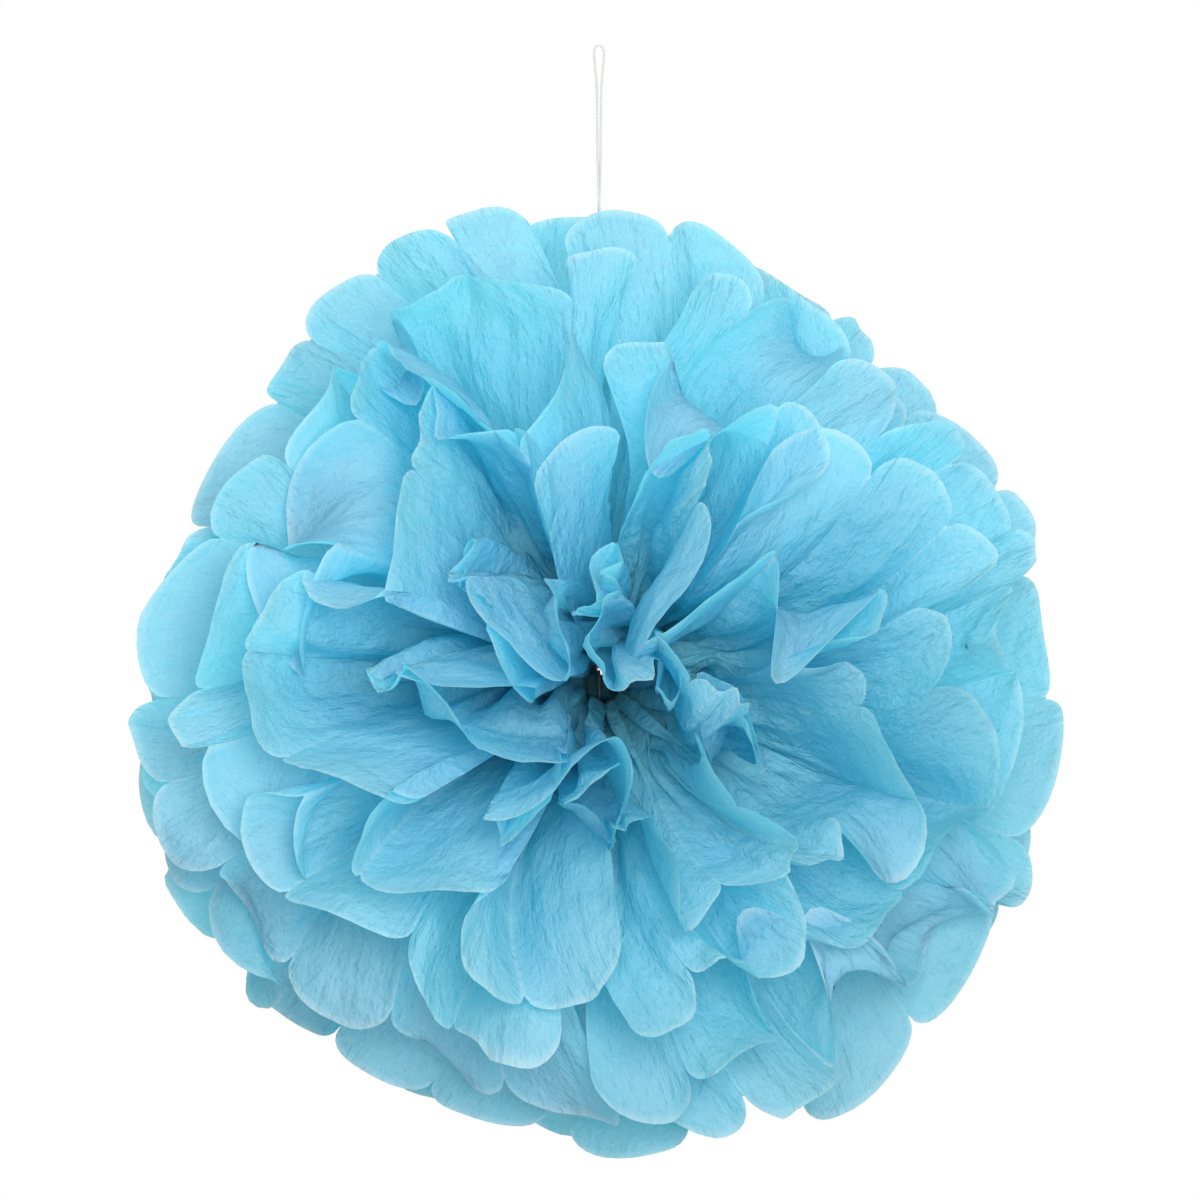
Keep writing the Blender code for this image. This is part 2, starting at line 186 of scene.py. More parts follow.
# Painted bounce light: a brighter, more saturated colour near the waist for light bounced between the
# sheets
TISSUE_PAINTED_BOUNCE = (0.32, 0.88, 0.98)
TISSUE_THROUGH = (0.14, 0.80, 0.95)
TISSUE_THROUGH_PALE = (0.24, 0.87, 0.97)
THROUGH_SHARE = 0.52

# Where the painted bounce colour near the waist gives way to the outer one, as shares of the way to
# the rim
PAINTED_BOUNCE_END = 0.30
OUTER_START = 0.92

# How fine the paper's streaks and crumples are, across and outward, and their relief in metres
STREAKS_PER_METRE = (150.0, 14.0)
CRUMPLES_PER_METRE = (70.0, 42.0)
PAPER_RELIEF = 0.0065

# Camera, floor and lights, in metres and watts
CAMERA_DISTANCE = 2.4
FRAME_WIDTH = 0.5196
CAMERA_X = 0.0004
CAMERA_Z = -0.2394
SENSOR_WIDTH = 36.0
FLOOR_Z = -1.6
FLOOR_HALF = 5.0
WORLD_LIGHT = 0.35
KEY_POWER = 8.5
FILL_POWER = 46.0
TOP_POWER = 4.0

# The tissue's pleats are uneven, with one fixed draw for the whole ball
DRAW = np.random.default_rng(7)
SHARED_TURN = DRAW.uniform(-0.2, 0.2, (2, PANELS + 1))
OWN_TURN = DRAW.uniform(-0.22, 0.22, (SHEETS, 2, PANELS + 1))
SHARED_FOLD = DRAW.uniform(0.85, 1.2, (2, PANELS + 1))
OWN_FOLD = DRAW.uniform(0.65, 1.35, (SHEETS, 2, PANELS + 1))
NOTCH_LOSS = DRAW.uniform(0.0, 0.007, (SHEETS, 2, PANELS + 1))
CUP = DRAW.uniform(-1.0, 1.0, (SHEETS, 2, PANELS))

# A second fixed draw for what only the scene shows
FINE_DRAW = np.random.default_rng(23)
CUPS = FINE_DRAW.uniform(0.55, 1.25, (SHEETS, 2, PANELS))
CUPS = CUPS * FINE_DRAW.choice((-1.0, 1.0), (SHEETS, 2, PANELS))
CURLS = CURL * FINE_DRAW.uniform(-1.0, 1.0, (SHEETS, 2, PANELS))
CURLS = np.where(FINE_DRAW.random(CURLS.shape) < FOLDED_SHARE, FOLDED_OVER * np.sign(CURLS), CURLS)
TILTS = FINE_DRAW.uniform(-1.0, 1.0, (SHEETS, 2, PANELS + 1))
LEAN_STARTS = FINE_DRAW.uniform(0.0, math.tau, (SHEETS, 2))
NOISE_STARTS = FINE_DRAW.uniform(0.0, 100.0, (SHEETS, 2, 3))


def smooth(value):
    """Ease from 0 to 1."""
    value = np.clip(value, 0.0, 1.0)
    return value * value * (3.0 - 2.0 * value)


def along(values, s):
    """Straight runs between the values kept at the creases."""
    return np.interp(s, np.arange(len(values)), values)


def place_from_middle(sheet):
    """0 for the first and the last sheet, growing towards the two sheets at the equator."""
    return min(sheet, SHEETS - 1 - sheet)


def towards_back(sheet):
    """1 for a front sheet, -1 for a back sheet: the way its fan opens from its own pole."""
    return 1.0 if sheet < SHEETS / 2 else -1.0


def pick(values, sheet):
    """The value for this sheet's distance from the first or the last sheet."""
    return values[min(place_from_middle(sheet), len(values) - 1)]


def lobes_at_creases(sheet, side):
    """How far out each crease stands in its fan's lobes, in panels, about their middle."""
    swings = (FRONT_SWINGS if sheet < SHEETS / 2 else BACK_SWINGS)[side]
    steps = np.interp(np.linspace(0.0, len(swings) - 1.0, PANELS), np.arange(len(swings)), swings)
    walk = np.append(0.0, np.cumsum(steps))
    return walk - (walk.max() + walk.min()) / 2.0


def crease_points(sheet, side, reach):
    """Where each crease of a fan is at each reach. Side is 0 on the left and 1 on the right."""
    reach = np.asarray(reach, float)[..., None]
    crease = np.arange(PANELS + 1)
    share = reach / PETAL_REACH
    own = smooth((share - OWN_WAY) / (1.0 - OWN_WAY))
    out = side * 2.0 - 1.0
    opening = towards_back(sheet)
    rest = FIRST_POLAR + (180.0 - 2.0 * FIRST_POLAR) * sheet / (SHEETS - 1)
    from_pole = math.radians(min(rest, 180.0 - rest))

    seam = math.radians(SEAM_AZIMUTH)
    spread = (math.pi - 2.0 * seam) / PANELS
    crowd = CROWD * np.sin(np.pi * crease / PANELS)
    held = np.sqrt(np.sin(np.pi * crease / PANELS).clip(0.0))
    turn = (SHARED_TURN[side] + own * OWN_TURN[sheet, side]) * held
    down = crease / PANELS
    turned = pick(TOP_SEAM_TURNS, sheet) * (1.0 - down) + pick(BOTTOM_SEAM_TURNS, sheet) * down
    azimuth = seam + spread * (crease + turn - crowd) - out * opening * np.radians(turned) * own
    span = spread * np.gradient(crease + turn - crowd, axis=-1)

    lobes = lobes_at_creases(sheet, side)
    arc = span * reach * math.sin(from_pole)
    swing = np.sqrt(np.maximum(PANEL_WIDTH**2 - arc**2, 0.0)) / np.maximum(reach, 0.001)
    limit = np.minimum(math.radians(FOLD_LIMIT), pick(POLE_SHARES, sheet) * from_pole)
    broad = smooth((share - LOBE_START) / (LOBE_FULL - LOBE_START))
    lobe = np.minimum(swing * pick(LOBE_SHARES, sheet), limit / np.abs(lobes).max()) * broad
    most = limit * (1.0 - PLEATS_LOST * broad)
    size = np.clip(swing / 2.0 * (1.0 - broad), math.radians(LEAST_FOLD), most)
    size = size * smooth((reach + FOLD_AT_WAIST) / FOLD_START)
    from_edge = np.minimum(crease, PANELS - crease)
    sign = (1.0 - 2.0 * (crease % 2)) * np.minimum(EDGE_FOLD + 0.5 * from_edge, 1.0)
    uneven = SHARED_FOLD[side] * (1.0 - own) + OWN_FOLD[sheet, side] * own
    flare = math.radians(FLARE) * math.cos(from_pole) * share**3
    polar = from_pole + lobe * lobes + opening * sign * size * uneven + flare
    polar = np.maximum(polar, math.radians(LEAST_POLAR))

    step = WAIST_STEP * abs(sheet - (SHEETS - 1) / 2.0)
    neck = (WAIST_HALF_LENGTH - step) * (1.0 - smooth(reach / NECK_END)) + SEAM_CLEARANCE
    x = out * (neck + reach * np.sin(polar) * np.sin(azimuth))
    y = stack_place(sheet) - opening * reach * np.cos(polar)
    z = (WAIST_HALF_HEIGHT - step) * (1.0 - 2.0 * down) + reach * np.sin(polar) * np.cos(azimuth)
    return np.stack((x, y, z), -1)


def fan_point(sheet, side, s, reach):
    """Middle surface of a fan: each panel spans its two creases and is cupped near its end."""
    s, reach = np.broadcast_arrays(np.asarray(s, float), np.asarray(reach, float))
    creases = crease_points(sheet, side, reach)
    low = np.clip(np.floor(s).astype(int), 0, PANELS - 1)
    part = (s - low)[..., None]
    before = np.take_along_axis(creases, low[..., None, None], -2)[..., 0, :]
    after = np.take_along_axis(creases, low[..., None, None] + 1, -2)[..., 0, :]
    middle = before + (after - before) * part
    across = np.cross(after - before, middle - (0.0, stack_place(sheet), 0.0))
    across /= np.maximum(np.linalg.norm(across, axis=-1, keepdims=True), 1e-9)
    own = smooth((reach / PETAL_REACH - OWN_WAY) / (1.0 - OWN_WAY))[..., None]
    room = math.sin(math.pi * (sheet + 1.0) / (SHEETS + 1.0))
    cup = CUP_DEPTH * room * CUP[sheet, side][low][..., None] * np.sin(np.pi * part) * own
    x, y, z = np.moveaxis(middle + across * cup, -1, 0)
    return np.stack(sway(x, y, z), -1)


def wave(shape, first, second, from_middle):
    """Shift of one bend, which fades to nothing at the waist."""
    size, first_length, second_length, start = shape
    calm = 1.0 - np.exp(-((from_middle / CALM_CORE) ** 2))
    return size * calm * np.sin(first / first_length + second / second_length + start)


def pull(x, y, z):
    """Draw the middle of the front across to one side, fading inwards to the waist."""
    front = smooth((-y - PULL_START) / (PULL_FULL - PULL_START))
    near = np.exp(-(((x - PULL_X) / PULL_WIDTH) ** 2) - ((z - PULL_Z) / PULL_HEIGHT) ** 2)
    return x + PULL * front * near, y, z


def sway(x, y, z):
    """Bend all sheets together by shears, which keep them in order and leave the waist alone."""
    x, y, z = pull(x, y, z)
    x = x + wave(SWAY_ACROSS, z, y, np.abs(y))
    z = z + wave(SWAY_UP, x, y, np.hypot(x, y))
    y = y + wave(SWAY_BACK, x, z, np.hypot(x, z))
    return x, y, z


def stack_place(sheet):
    """Where a sheet lies in the stack at the waist, from front to back."""
    return (sheet - (SHEETS - 1) / 2.0) * (PAPER_THICKNESS + GAP)


def rim_reach(sheet, side, s):
    """Round end of each pleat: longest at its middle, notched at the creases."""
    part = s - np.floor(np.minimum(s, PANELS - 1e-9))
    round_end = np.sqrt(np.maximum(1.0 - (2.0 * part - 1.0) ** 2, 0.0))
    notch = PETAL_REACH - PETAL_DEPTH - along(NOTCH_LOSS[sheet, side], s)
    return notch + PETAL_DEPTH * round_end


def lattice(ix, iy, seed):
    """Repeatable random value from 0 to 1 for each whole-number place."""
    for_x, for_y, for_seed, for_mix = HASH_FACTORS
    mixed = ix.astype(np.int64) * for_x + iy.astype(np.int64) * for_y + seed * for_seed
    mixed = mixed & HASH_MASK
    mixed = ((mixed ^ (mixed >> 13)) * for_mix) & HASH_MASK
    mixed = mixed ^ (mixed >> 16)
    return (mixed & LOW_BITS) / LOW_BITS


def value_noise(x, y, seed):
    """Smooth noise from -1 to 1."""
    ix, iy = np.floor(x), np.floor(y)
    fx, fy = x - ix, y - iy
    fx = fx * fx * (3.0 - 2.0 * fx)
    fy = fy * fy * (3.0 - 2.0 * fy)
    low = lattice(ix, iy, seed) * (1.0 - fx) + lattice(ix + 1, iy, seed) * fx
    high = lattice(ix, iy + 1, seed) * (1.0 - fx) + lattice(ix + 1, iy + 1, seed) * fx
    return 2.0 * (low * (1.0 - fy) + high * fy) - 1.0


def ridges(x, y, seed):
    """Crumple noise with sharp crests, from about -1 to 1."""
    total = 0.0
    size = 1.0
    for octave in range(3):
        layer = value_noise(x * 2**octave, y * 2**octave, seed + octave)
        total = total + size * (1.0 - 2.0 * np.abs(layer))
        size *= 0.5
    return total / 1.75 - 0.25


def gathered(sheet, side, s, reach):
    """How wide the paper lies there, as a share of its flat width."""
    panel = np.clip(np.floor(s), 0, PANELS - 1)
    wide = fan_point(sheet, side, panel + 1.0, reach) - fan_point(sheet, side, panel, reach)
    return np.linalg.norm(wide, axis=-1) / PANEL_WIDTH


def facing(sheet, side, s, low, high, reach):
    """Direction square to the paper at s, judged between low and high."""
    across = fan_point(sheet, side, high, reach) - fan_point(sheet, side, low, reach)
    outward = fan_point(sheet, side, s, reach + FACING_STEP)
    outward = outward - fan_point(sheet, side, s, np.maximum(reach - FACING_STEP, 0.0))
    normal = np.cross(across, outward) * (side * 2.0 - 1.0)
    return normal / np.maximum(np.linalg.norm(normal, axis=-1, keepdims=True), 1e-12)


def lean(sheet, side, s, reach, point):
    """Bring the ends of the first and last sheets' petals in over the middle."""
    amount = LEAN if place_from_middle(sheet) == 0 else 0.0
    share = smooth((reach / PETAL_REACH - LEAN_FROM) / (1.0 - LEAN_FROM))
    inward = 0.5 + 0.5 * np.sin(math.tau * s / LEAN_WAVE + LEAN_STARTS[sheet, side])
    scale = 1.0 - amount * inward * share
    return point * np.stack((scale, np.ones(scale.shape), scale), -1)


def curl(sheet, side, s, reach, point, normal):
    """Roll the end of each petal up or back, and fold a few of them over."""
    hinge = fan_point(sheet, side, s, np.minimum(reach, CURL_START * PETAL_REACH))
    past = point - hinge
    length = np.linalg.norm(past, axis=-1, keepdims=True)
    panel = np.clip(np.floor(s).astype(int), 0, PANELS - 1)
    grown = smooth((reach / PETAL_REACH - CURL_START) / (1.0 - CURL_START))
    angle = pick(CURL_GROWTH, sheet) * np.radians(CURLS[sheet, side][panel])
    angle = (angle * np.sin(np.pi * (s - panel)) ** 0.7 * grown)[..., None]
    return hinge + past * np.cos(angle) + normal * length * np.sin(angle)


def tissue_surface(sheet, side, s, reach):
    """Fine middle surface: the solid's own folds, with cupped panels, curled ends and wrinkles."""
    point = fan_point(sheet, side, s, reach)
    panel = np.clip(np.floor(s).astype(int), 0, PANELS - 1)
    part = s - panel
    flat_panel = facing(sheet, side, s, panel + 0.02, panel + 0.98, reach)
    low, high = np.maximum(s - 0.25, 0.0), np.minimum(s + 0.25, PANELS)
    all_round = facing(sheet, side, s, low, high, reach)
    share = reach / PETAL_REACH
    arch = np.sin(np.pi * part)
    hold = smooth(reach / HELD_BY_WAIST)
    lies = gathered(sheet, side, s, reach)
    spare = np.clip(1.0 / np.maximum(lies, LEAST_GATHERED), 1.0, MOST_GATHER)
    a, b, c = NOISE_STARTS[sheet, side]
    across = s * PANEL_WIDTH
    outside = smooth((share - 0.30) / 0.45)
    height = np.sqrt(np.maximum(spare**2 - 1.0, 0.0)) * lies * PANEL_WIDTH
    bulge = height * CUP_SHARE * pick(CUP_GROWTH, sheet) * CUPS[sheet, side][panel] * arch * outside
    drift = RIPPLE_DRIFT * value_noise(s * 0.9 + a, reach / 0.07 + b, 31 + sheet)
    fades = 1.0 - (1.0 - RIPPLES_LEFT_OUTSIDE) * outside
    ripple = np.sin(math.tau * (RIPPLES * part + drift)) * arch**0.5 * fades
    bulge = bulge + height * RIPPLE_SHARE * pick(RIPPLE_GROWTH, sheet) * ripple
    shift = TILT * along(TILTS[sheet, side], s) * smooth((share - 0.35) / 0.65) ** 1.3
    crumpled = smooth((share - 0.1) / 0.3)
    wide, long = WRINKLE_SIZE
    shift = shift + WRINKLE * ridges(across / wide + a, reach / long + b, 11 + sheet) * crumpled
    wide, long = CRUMPLE_SIZE
    shift = shift + CRUMPLE * ridges(across / wide + c, reach / long + a, 57 + sheet) * crumpled
    wide, long = RIM_WAVE_SIZE
    rim = value_noise(across / wide + b, reach / long + c, 91 + sheet)
    shift = shift + RIM_WAVE * rim * smooth((share - 0.55) / 0.45)
    point = curl(sheet, side, s, reach, point, flat_panel)
    point = lean(sheet, side, s, reach, point)
    return point + flat_panel * (bulge * hold)[..., None] + all_round * (shift * hold)[..., None]


def tissue_rows(sheet, side):
    """Grid of one fan, rows from the waist to the rim, with close lines at creases and rim."""
    eased = np.sin(np.linspace(0.0, np.pi / 2.0, COLUMNS)) ** 2
    inside = CREASE_LINE + (1.0 - 2.0 * CREASE_LINE) * eased
    columns = np.append((np.arange(PANELS)[:, None] + np.append(0.0, inside)).ravel(), PANELS)
    rim = rim_reach(sheet, side, columns)
    uneven = value_noise(columns * 2.3 + NOISE_STARTS[sheet, side, 0], columns * 0.0, 71 + sheet)
    rim = rim - RIM_UNEVEN * (0.5 + 0.5 * uneven) * np.sin(np.pi * (columns - np.floor(columns)))
    steps = np.linspace(0.0, 1.0, ROWS)
    steps = steps + ROWS_CROWD_OUT * np.sin(np.pi * steps) ** 2 * steps
    reach = np.vstack((steps[:-1, None] * (rim - RIM_LINE), rim))
    s = np.broadcast_to(columns, reach.shape)
    # Masks for the painted highlight lines along the creases and on the rim
    crease = np.broadcast_to(columns == np.round(columns), reach.shape) * smooth(reach / 0.05)
    at_rim = np.zeros(reach.shape)
    at_rim[-1] = 1.0
    return s, reach, tissue_surface(sheet, side, s, reach), crease, at_rim


def add_piece(name, mesh, look, slot, *replaced):
    """One piece of the still body, which replaces the nodes named last."""
    made = bpy.data.objects.new(name, mesh)
    bpy.context.scene.collection.objects.link(made)
    made.data.materials.append(look)
    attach(made, "root")
    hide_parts(*replaced)
    return made


def add_tissue(sheet, look):
    """One whole sheet: the left fan, the waist and the right fan as one open surface."""
    in_front = sheet < SHEETS / 2
    number = SHEETS // 2 - sheet if in_front else sheet - SHEETS // 2 + 1
    node = f"tissue_sheet_{'front' if in_front else 'back'}_{number}"
    points = []
    uvs = []
    lines = []
    for side in (0, 1):
        s, reach, place, crease, rim = tissue_rows(sheet, side)
        order = slice(None, None, -1) if side == 0 else slice(None)
        points.append(place[order])
        uvs.append(np.stack((s * PANEL_WIDTH, (side * 2.0 - 1.0) * reach), -1)[order])
        lines.append(np.stack((crease, rim, reach / PETAL_REACH), -1)[order])
    points = np.concatenate(points)
    uvs = np.concatenate(uvs)
    lines = np.concatenate(lines).reshape(-1, 3)
    rows, columns = points.shape[:2]
    points = points.reshape(-1, 3) - (0.0, 0.0, HANG_LENGTH)
    index = np.arange(rows * columns).reshape(rows, columns)
    corners = np.stack((index[:-1, :-1], index[:-1, 1:], index[1:, 1:], index[1:, :-1]), -1)
    mesh = bpy.data.meshes.new(node + "_tissue")
    faces = [tuple(int(corner) for corner in face) for face in corners.reshape(-1, 4)]
    mesh.from_pydata([tuple(point) for point in points], [], faces)
    layer = mesh.uv_layers.new(name="flat_paper")
    loops = np.empty(len(mesh.loops), int)
    mesh.loops.foreach_get("vertex_index", loops)
    layer.data.foreach_set("uv", uvs.reshape(-1, 2)[loops].astype(np.float32).ravel())
    # crease and rim place the painted highlights; outward places the painted bounce colour near the
    # waist
    for column, name in enumerate(("crease", "rim", "outward")):
        values = mesh.attributes.new(name, "FLOAT", "POINT")
        values.data.foreach_set("value", lines[:, column].astype(np.float32))
    mesh.shade_smooth()
    piece = add_piece(node + "_tissue", mesh, look, "tissue", node)


def smooth_route(route):
    """Close points on the smooth curve through the route's own points."""
    knots = np.array(route) / 1000.0
    knots = np.vstack((2.0 * knots[0] - knots[1], knots, 2.0 * knots[-1] - knots[-2]))
    fine = []
    for a, b, c, d in zip(knots, knots[1:], knots[2:], knots[3:]):
        lengths = [math.sqrt(np.linalg.norm(q - p)) for p, q in ((a, b), (b, c), (c, d))]
        t0, t1 = 0.0, lengths[0]
        t2 = t1 + lengths[1]
        t3 = t2 + lengths[2]
        for t in np.linspace(t1, t2, ROUTE_STEPS, endpoint=False):
            ab = a + (b - a) * (t - t0) / (t1 - t0)
            bc = b + (c - b) * (t - t1) / (t2 - t1)
            cd = c + (d - c) * (t - t2) / (t3 - t2)
            abc = ab + (bc - ab) * (t - t0) / (t2 - t0)
            bcd = bc + (cd - bc) * (t - t1) / (t3 - t1)
            fine.append(abc + (bcd - abc) * (t - t1) / (t2 - t1))
    return np.array([*fine, knots[-2]])


def cord_path():
    """Even points along the cord's middle line, and its length."""
    fine = smooth_route(CORD_ROUTE)
    steps = np.append(0.0, np.cumsum(np.linalg.norm(np.diff(fine, axis=0), axis=1)))
    count = int(steps[-1] / CORD_STEP)
    wanted = np.linspace(0.0, steps[-1], count)
    return np.stack([np.interp(wanted, steps, fine[:, axis]) for axis in range(3)], -1), steps[-1]


def add_cord(look):
    """Cotton cord of three twisted plies, from the knot up to the loop and back."""
    path, length = cord_path()
    tangent = np.gradient(path, axis=0)
    tangent /= np.linalg.norm(tangent, axis=1, keepdims=True)
    first = np.cross(tangent, (0.0, 1.0, 0.0))
    first /= np.linalg.norm(first, axis=1, keepdims=True)
    second = np.cross(tangent, first)
    along_cord = np.linspace(0.0, length, len(path))
    offset = CORD_DIAMETER * PLY_OFFSET
    ply = CORD_DIAMETER * PLY_RADIUS
    points = []
    faces = []
    for number in range(PLIES):
        twist = along_cord / PLY_LAY * math.tau + math.tau * number / PLIES
        centre = path + offset * (np.cos(twist)[:, None] * first + np.sin(twist)[:, None] * second)
        start = len(points)
        for turn in range(PLY_SIDES):
            angle = math.tau * turn / PLY_SIDES + twist
            ring = centre + ply * (np.cos(angle)[:, None] * first + np.sin(angle)[:, None] * second)
            points.extend(ring)
        for turn in range(PLY_SIDES):
            low = start + turn * len(path)
            high = start + (turn + 1) % PLY_SIDES * len(path)
            faces.extend((low + i, low + i + 1, high + i + 1, high + i) for i in range(len(path) - 1))
        for end, step in ((0, 1), (len(path) - 1, -1)):
            faces.append(tuple(start + turn * len(path) + end for turn in range(PLY_SIDES))[::step])
    mesh = bpy.data.meshes.new("cotton_cord")
    mesh.from_pydata([tuple(p) for p in points], [], faces)
    mesh.shade_smooth()
    piece = add_piece("cotton_cord", mesh, look, "cotton_cord", "hanging_cord")


def new_material(name):
    """Empty node material, with its nodes and links."""
    made = bpy.data.materials.new(name)
    made.use_nodes = True
    made.node_tree.nodes.clear()
    return made, made.node_tree.nodes, made.node_tree.links


def noise(nodes, links, vector, scale, detail, roughness=0.5):
    """Value from 0 to 1 of a procedural noise."""
    made = nodes.new("ShaderNodeTexNoise")
    made.inputs["Scale"].default_value = scale
    made.inputs["Detail"].default_value = detail
    made.inputs["Roughness"].default_value = roughness
    links.new(vector, made.inputs["Vector"])
    return made.outputs["Fac"]


def spread(nodes, links, value, low, high, out_low, out_high):
    """The value moved from the range low to high to the range out_low to out_high."""
    made = nodes.new("ShaderNodeMapRange")
    made.inputs["From Min"].default_value = low
    made.inputs["From Max"].default_value = high
    made.inputs["To Min"].default_value = out_low
    made.inputs["To Max"].default_value = out_high
    links.new(value, made.inputs["Value"])
    return made.outputs["Result"]


def mix_colour(nodes, links, factor, first, second):
    """Colour between two colours, each a tuple or a socket."""
    made = nodes.new("ShaderNodeMix")
    made.data_type = "RGBA"
    links.new(factor, made.inputs["Factor"])
    for socket, value in ((made.inputs["A"], first), (made.inputs["B"], second)):
        if isinstance(value, tuple):
            socket.default_value = (*value, 1.0)
        else:
            links.new(value, socket)
    return made.outputs["Result"]


def paper_place(nodes, links, across, outward):
    """Place on the flat sheet, stretched for streaks that run along the pleats."""
    flat = nodes.new("ShaderNodeUVMap")
    flat.uv_map = "flat_paper"
    scaled = nodes.new("ShaderNodeVectorMath")
    scaled.operation = "MULTIPLY"
    scaled.inputs[1].default_value = (across, outward, 1.0)
    links.new(flat.outputs["UV"], scaled.inputs[0])
    return scaled.outputs["Vector"]


def line_value(nodes, name):
    """Value kept at each point of the tissue: crease, rim or outward."""
    made = nodes.new("ShaderNodeAttribute")
    made.attribute_name = name
    return made.outputs["Fac"]


def added(nodes, links, first, second, share):
    """First plus second times a share."""
    made = nodes.new("ShaderNodeMath")
    made.operation = "MULTIPLY_ADD"
    made.inputs[1].default_value = share
    links.new(second, made.inputs[0])
    links.new(first, made.inputs[2])
    return made.outputs["Value"]


def tissue_material():
    """Thin dyed tissue: cloudy fibres, mottled dye and light that comes through from behind.
    Creases and rim carry a painted highlight; near the waist a brighter colour is painted in for
    bounced light.
    """
    made, nodes, links = new_material("light_blue_tissue")
    place = nodes.new("ShaderNodeTexCoord").outputs["Object"]
    clouds = noise(nodes, links, place, 38.0, 3.0)
    fibres = noise(nodes, links, place, 560.0, 4.0, 0.65)
    mottle = noise(nodes, links, place, 170.0, 3.0)
    streaks = noise(nodes, links, paper_place(nodes, links, *STREAKS_PER_METRE), 1.0, 3.0, 0.6)
    crumples = noise(nodes, links, paper_place(nodes, links, *CRUMPLES_PER_METRE), 1.0, 4.0, 0.6)
    cloudy = spread(nodes, links, clouds, 0.3, 0.7, 0.0, 1.0)
    base = mix_colour(nodes, links, cloudy, TISSUE_DEEP, TISSUE_PALE)
    fibrous = spread(nodes, links, fibres, 0.35, 0.75, 0.0, 0.4)
    speck = mix_colour(nodes, links, fibrous, base, TISSUE_FIBRE)
    mottled = spread(nodes, links, mottle, 0.35, 0.7, 0.0, 0.3)
    dyed = mix_colour(nodes, links, mottled, speck, TISSUE_DEEP)
    streaky = spread(nodes, links, streaks, 0.5, 0.8, 0.0, 0.22)
    streaked = mix_colour(nodes, links, streaky, dyed, TISSUE_FIBRE)
    # Painted highlight: creases and rim are made lighter, for light caught by the folds and by
    # edge-on paper
    crease = spread(nodes, links, line_value(nodes, "crease"), 0.0, 1.0, 0.0, 0.55)
    crease_highlighted = mix_colour(nodes, links, crease, streaked, TISSUE_PAINTED_HIGHLIGHT)
    rim = spread(nodes, links, line_value(nodes, "rim"), 0.0, 1.0, 0.0, 0.8)
    colour = mix_colour(nodes, links, rim, crease_highlighted, TISSUE_PAINTED_HIGHLIGHT)
    height = added(nodes, links, added(nodes, links, crumples, streaks, 0.28), fibres, 0.10)
    bump = nodes.new("ShaderNodeBump")
    bump.inputs["Strength"].default_value = 1.0
    bump.inputs["Distance"].default_value = PAPER_RELIEF
    links.new(height, bump.inputs["Height"])
    shader = nodes.new("ShaderNodeBsdfPrincipled")
    shader.inputs["Roughness"].default_value = 0.62
    shader.inputs["Specular IOR Level"].default_value = 0.22
    # Painted bounce light: near the waist the base colour is brighter and more saturated, for light
    # bounced between the sheets
    outer = spread(nodes, links, line_value(nodes, "outward"), PAINTED_BOUNCE_END, OUTER_START, 0.0, 1.0)
    links.new(mix_colour(nodes, links, outer, TISSUE_PAINTED_BOUNCE, colour), shader.inputs["Base Color"])
    links.new(bump.outputs["Normal"], shader.inputs["Normal"])
    through = nodes.new("ShaderNodeBsdfTranslucent")
    patchy = spread(nodes, links, mottle, 0.3, 0.7, 0.0, 1.0)
    thin = mix_colour(nodes, links, patchy, TISSUE_THROUGH, TISSUE_THROUGH_PALE)
    links.new(thin, through.inputs["Color"])
    links.new(bump.outputs["Normal"], through.inputs["Normal"])
    both = nodes.new("ShaderNodeMixShader")
    both.inputs["Fac"].default_value = THROUGH_SHARE
    links.new(shader.outputs["BSDF"], both.inputs[1])
    links.new(through.outputs["BSDF"], both.inputs[2])
    out = nodes.new("ShaderNodeOutputMaterial")
    links.new(both.outputs["Shader"], out.inputs["Surface"])
    return made


def cord_material():
    """Off-white cotton with fine lint."""
    made, nodes, links = new_material("white_cotton_cord")
    place = nodes.new("ShaderNodeTexCoord").outputs["Object"]
    lint = noise(nodes, links, place, 2600.0, 3.0, 0.6)
    grey = noise(nodes, links, place, 240.0, 2.0)
    colour = mix_colour(nodes, links, lint, (0.60, 0.585, 0.56), (0.86, 0.85, 0.82))
    greyer = spread(nodes, links, grey, 0.3, 0.8, 0.0, 0.4)
    colour = mix_colour(nodes, links, greyer, colour, (0.66, 0.65, 0.63))
    bump = nodes.new("ShaderNodeBump")
    bump.inputs["Strength"].default_value = 0.5
    bump.inputs["Distance"].default_value = 0.0001
    links.new(lint, bump.inputs["Height"])
    shader = nodes.new("ShaderNodeBsdfPrincipled")
    shader.inputs["Roughness"].default_value = 0.85
    shader.inputs["Specular IOR Level"].default_value = 0.2
    links.new(colour, shader.inputs["Base Color"])
    links.new(bump.outputs["Normal"], shader.inputs["Normal"])
    out = nodes.new("ShaderNodeOutputMaterial")
    links.new(shader.outputs["BSDF"], out.inputs["Surface"])
    return made


def wire_material():
    """Drawn steel wire, slightly dulled."""
    made, nodes, links = new_material("tie_wire_steel")
    place = nodes.new("ShaderNodeTexCoord").outputs["Object"]
    dull = noise(nodes, links, place, 900.0, 3.0)
    colour = mix_colour(nodes, links, dull, (0.50, 0.50, 0.49), (0.68, 0.68, 0.67))
    shader = nodes.new("ShaderNodeBsdfPrincipled")
    shader.inputs["Metallic"].default_value = 1.0
    links.new(colour, shader.inputs["Base Color"])
    links.new(spread(nodes, links, dull, 0.3, 0.7, 0.28, 0.5), shader.inputs["Roughness"])
    out = nodes.new("ShaderNodeOutputMaterial")
    links.new(shader.outputs["BSDF"], out.inputs["Surface"])
    return made


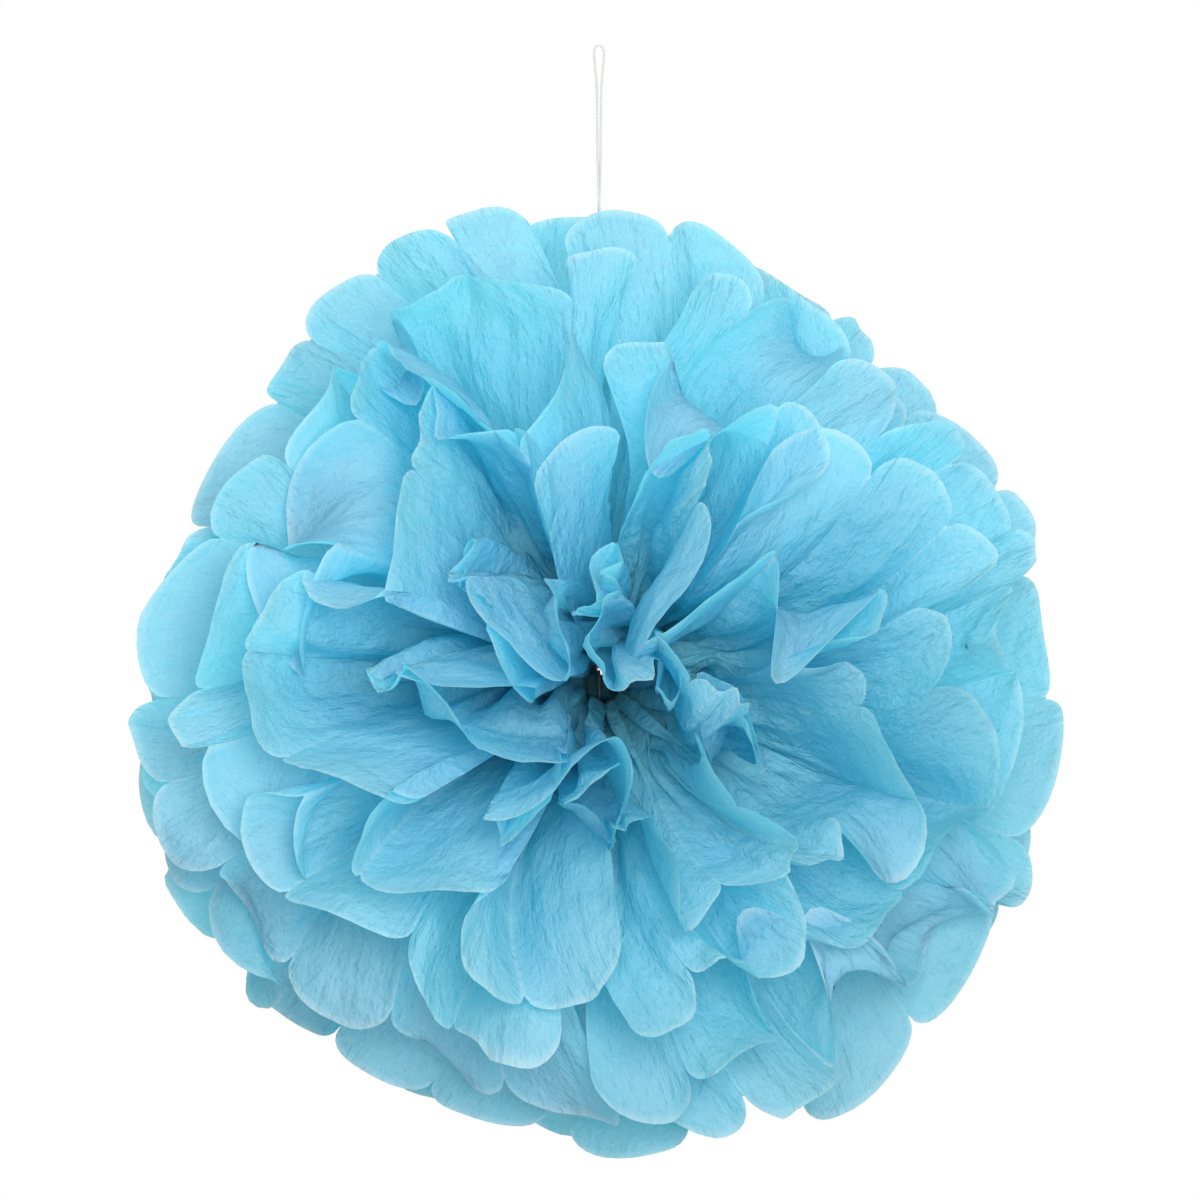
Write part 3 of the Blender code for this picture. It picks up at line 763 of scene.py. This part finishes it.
def floor_material():
    """Pale floor with a faint cloudy tone."""
    made, nodes, links = new_material("pale_floor")
    place = nodes.new("ShaderNodeTexCoord").outputs["Object"]
    cloud = noise(nodes, links, place, 3.0, 2.0)
    shader = nodes.new("ShaderNodeBsdfPrincipled")
    shader.inputs["Roughness"].default_value = 0.9
    shader.inputs["Specular IOR Level"].default_value = 0.1
    colour = mix_colour(nodes, links, cloud, (0.80, 0.80, 0.80), (0.85, 0.85, 0.85))
    links.new(colour, shader.inputs["Base Color"])
    out = nodes.new("ShaderNodeOutputMaterial")
    links.new(shader.outputs["BSDF"], out.inputs["Surface"])
    return made


def add_camera():
    """Level view of the ball's front."""
    camera = bpy.data.cameras.new("camera")
    camera.sensor_width = SENSOR_WIDTH
    camera.lens = camera.sensor_width * CAMERA_DISTANCE / FRAME_WIDTH
    made = bpy.data.objects.new("camera", camera)
    made.location = (CAMERA_X, -CAMERA_DISTANCE, CAMERA_Z)
    made.rotation_euler = (math.pi / 2.0, 0.0, 0.0)
    bpy.context.scene.collection.objects.link(made)
    bpy.context.scene.camera = made


def add_lamp(name, place, size, power):
    """Round soft lamp that shines on the middle of the ball."""
    lamp = bpy.data.lights.new(name, "AREA")
    lamp.shape = "DISK"
    lamp.size = size
    lamp.energy = power
    made = bpy.data.objects.new(name, lamp)
    made.location = place
    towards = Vector((0.0, 0.0, -HANG_LENGTH)) - Vector(place)
    made.rotation_euler = towards.to_track_quat("-Z", "Y").to_euler()
    bpy.context.scene.collection.objects.link(made)


def add_stage():
    """Floor below the hanging ball."""
    mesh = bpy.data.meshes.new("floor")
    ends = ((-1, -1), (1, -1), (1, 1), (-1, 1))
    corners = [(x * FLOOR_HALF, y * FLOOR_HALF, FLOOR_Z) for x, y in ends]
    mesh.from_pydata(corners, [], [(0, 1, 2, 3)])
    floor = bpy.data.objects.new("floor", mesh)
    bpy.context.scene.collection.objects.link(floor)
    floor.data.materials.append(floor_material())


def add_light():
    """Three lamps, and a surround that lights softly and that the camera sees as plain white."""
    world = bpy.data.worlds.new("studio")
    bpy.context.scene.world = world
    world.use_nodes = True
    nodes, links = world.node_tree.nodes, world.node_tree.links
    nodes.clear()
    path = nodes.new("ShaderNodeLightPath")
    seen = nodes.new("ShaderNodeMath")
    seen.operation = "MAXIMUM"
    links.new(path.outputs["Is Camera Ray"], seen.inputs[0])
    links.new(path.outputs["Is Glossy Ray"], seen.inputs[1])
    also = nodes.new("ShaderNodeMath")
    also.operation = "MAXIMUM"
    links.new(seen.outputs["Value"], also.inputs[0])
    links.new(path.outputs["Is Transmission Ray"], also.inputs[1])
    soft = nodes.new("ShaderNodeBackground")
    soft.inputs["Color"].default_value = (0.95, 0.98, 1.0, 1.0)
    soft.inputs["Strength"].default_value = WORLD_LIGHT
    white = nodes.new("ShaderNodeBackground")
    white.inputs["Color"].default_value = (1.0, 1.0, 1.0, 1.0)
    mix = nodes.new("ShaderNodeMixShader")
    out = nodes.new("ShaderNodeOutputWorld")
    links.new(also.outputs["Value"], mix.inputs["Fac"])
    links.new(soft.outputs["Background"], mix.inputs[1])
    links.new(white.outputs["Background"], mix.inputs[2])
    links.new(mix.outputs["Shader"], out.inputs["Surface"])
    add_lamp("key", (-0.7, -1.2, 1.1), 0.8, KEY_POWER)
    add_lamp("fill", (0.25, -2.3, 0.0), 1.0, FILL_POWER)
    add_lamp("top", (0.1, 0.1, 1.3), 0.9, TOP_POWER)


add_camera()
cotton = cord_material()
add_cord(cotton)
tissue = tissue_material()
for sheet_number in range(SHEETS):
    add_tissue(sheet_number, tissue)
for node, look in (("waist_tie", wire_material()), ("cord_knot", cotton)):
    for slot in bpy.data.objects[node].material_slots:
        slot.material = look
add_stage()
add_light()
bpy.context.scene.view_settings.view_transform = "Standard"
